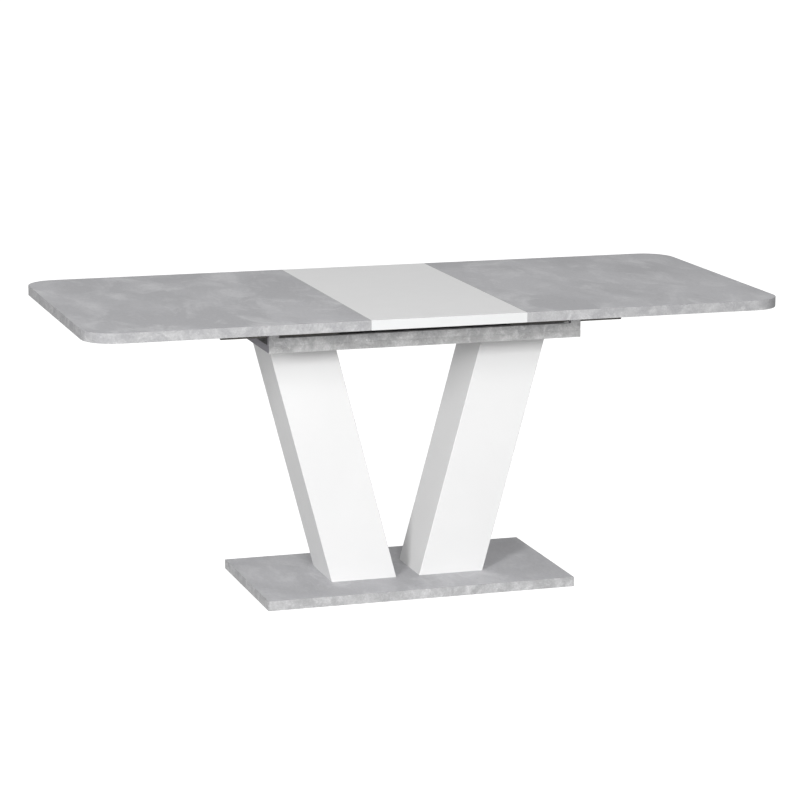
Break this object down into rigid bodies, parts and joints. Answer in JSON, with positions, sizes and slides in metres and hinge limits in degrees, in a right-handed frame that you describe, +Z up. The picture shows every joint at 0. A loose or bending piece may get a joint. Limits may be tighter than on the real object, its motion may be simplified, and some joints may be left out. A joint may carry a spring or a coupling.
{
  "type": "extendable dining table",
  "caption": "Rectangular pedestal dining table whose top halves slide apart on rails for a loose centre leaf, on two leaning column legs and a flat base plate.",
  "frame": {"origin": "on the floor under the middle of the table, drawn open with the leaf in place", "axes": "+X along the table's length, +Y to its back, +Z up"},
  "size_m": [1.788, 0.8, 0.76],
  "materials": {
    "concrete_laminate": "concrete-look melamine faced board",
    "concrete_edge": "concrete-look ABS edge band",
    "white_laminate": "white satin melamine faced board",
    "white_edge": "white ABS edge band",
    "leg_white": "white satin foil wrapped board",
    "frame_laminate": "concrete-look melamine faced board",
    "raw_board": "bare particle board",
    "beech": "turned beech, unfinished",
    "zinc_screw": "zinc plated",
    "steel_guide": "black powder coated steel",
    "aluminium_rail": "dark grey powder coated extrusion",
    "black_nylon": "moulded glass-filled nylon",
    "felt_pad": "dark grey needled felt",
    "glide_plastic": "moulded polyethylene"
  },
  "bodies": {
    "base": {"apron_end_blocks": "frame_laminate", "apron_screws": "zinc_screw", "back_apron": "frame_laminate", "back_guide_bar": "steel_guide", "base_plate": "concrete_laminate", "base_plate_edge_band": "concrete_edge", "cross_rail": "steel_guide", "cross_rail_screws": "zinc_screw", "end_block_felts": "raw_board", "floor_glides": "glide_plastic", "foot_screws": "zinc_screw", "frame_plate": "frame_laminate", "front_apron": "frame_laminate", "front_guide_bar": "steel_guide", "guide_bar_screws": "zinc_screw", "head_screws": "zinc_screw", "leaf_felts": "felt_pad", "left_leg_back_board": "leg_white", "left_leg_foot_block": "raw_board", "left_leg_front_board": "leg_white", "left_leg_head_block": "raw_board", "left_leg_inner_board": "leg_white", "left_leg_outer_board": "leg_white", "pinion_clip": "zinc_screw", "pinion_pin": "zinc_screw", "rack_keeper": "steel_guide", "right_leg_back_board": "leg_white", "right_leg_foot_block": "raw_board", "right_leg_front_board": "leg_white", "right_leg_head_block": "raw_board", "right_leg_inner_board": "leg_white", "right_leg_outer_board": "leg_white"},
    "left_half": {"left_back_runner": "aluminium_rail", "left_front_runner": "aluminium_rail", "left_rack": "black_nylon", "left_rack_block": "raw_board", "left_rack_screws": "zinc_screw", "left_runner_screws": "zinc_screw", "left_top": "concrete_laminate", "left_top_edge_band": "concrete_edge"},
    "right_half": {"right_back_runner": "aluminium_rail", "right_front_runner": "aluminium_rail", "right_rack": "black_nylon", "right_rack_block": "raw_board", "right_rack_screws": "zinc_screw", "right_runner_screws": "zinc_screw", "right_top": "concrete_laminate", "right_top_dowels": "beech", "right_top_edge_band": "concrete_edge"},
    "leaf": {"leaf": "white_laminate", "leaf_dowels": "beech", "leaf_edge_band": "white_edge"},
    "pinion": {"sync_pinion": "black_nylon"}
  },
  "joints": [
    {"name": "left_slide", "type": "slide", "parent": "base", "child": "left_half", "axis": [1, 0, 0], "range_m": [0, 0.2]},
    {"name": "right_slide", "type": "slide", "parent": "base", "child": "right_half", "axis": [-1, 0, 0], "range_m": [0, 0.2]},
    {"name": "pinion_spin", "type": "hinge", "parent": "base", "child": "pinion", "pos_m": [0, 0, 0.714], "axis": [0, 0, 1], "range_deg": [-574, 1]},
    {"name": "leaf_lift", "type": "slide", "parent": "base", "child": "leaf", "axis": [0, 0, 1], "range_m": [0, 0.5]}
  ],
  "couplings": [
    {"joint": "right_slide", "follows": "left_slide", "ratio": 1},
    {"joint": "pinion_spin", "follows": "left_slide", "rad_per_m": -50},
    {"joint": "leaf_lift", "follows": "left_slide", "ratio": 2.5}
  ]
}
